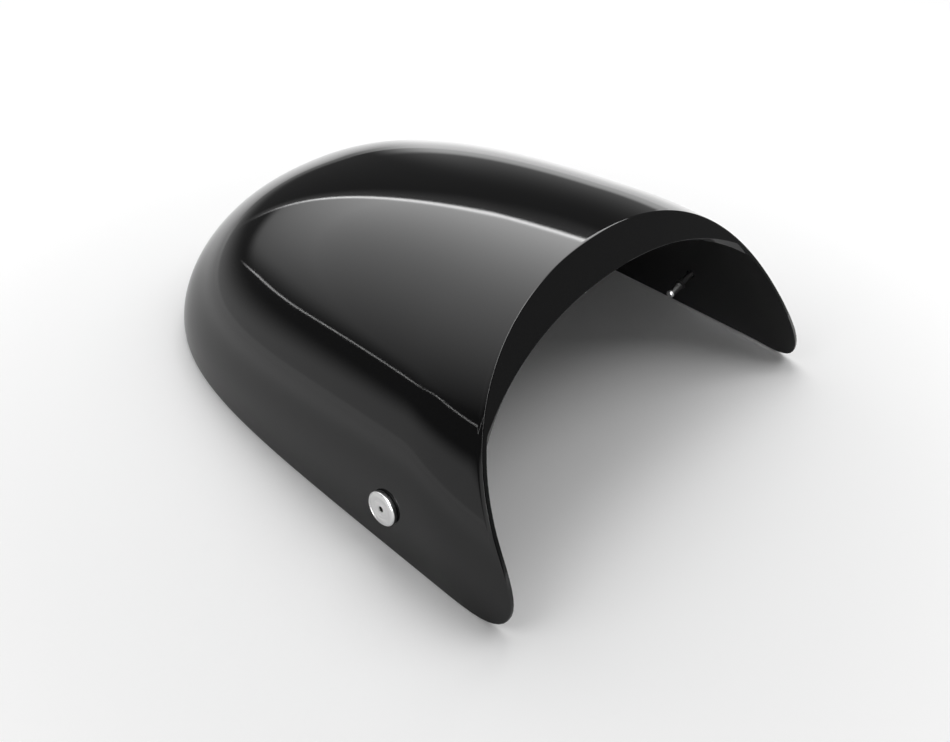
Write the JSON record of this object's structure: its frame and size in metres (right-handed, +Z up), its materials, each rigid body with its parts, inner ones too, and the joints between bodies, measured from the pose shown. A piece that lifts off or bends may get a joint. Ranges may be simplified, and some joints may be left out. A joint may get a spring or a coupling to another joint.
{
  "type": "motorcycle seat cowl",
  "caption": "Rounded rear seat cowl of a motorcycle: a thin smooth shell, open below and at its raked mouth, held by a captive screw through each side",
  "frame": {"origin": "middle of the cowl's box, in the plane of the base rim", "axes": "+X to the right across the cowl, +Y from the open mouth to the closed tail, +Z up from the base rim to the spine"},
  "size_m": [0.2696, 0.3406, 0.1205],
  "materials": {
    "shell": "moulded black plastic with a fine grain under a gloss",
    "screw": "turned bright steel",
    "ring": "matt black"
  },
  "bodies": {
    "root": {"cowl_shell": "shell", "screw_left": "screw", "screw_right": "screw", "retaining_ring_left": "ring", "retaining_ring_right": "ring"}
  },
  "joints": []
}
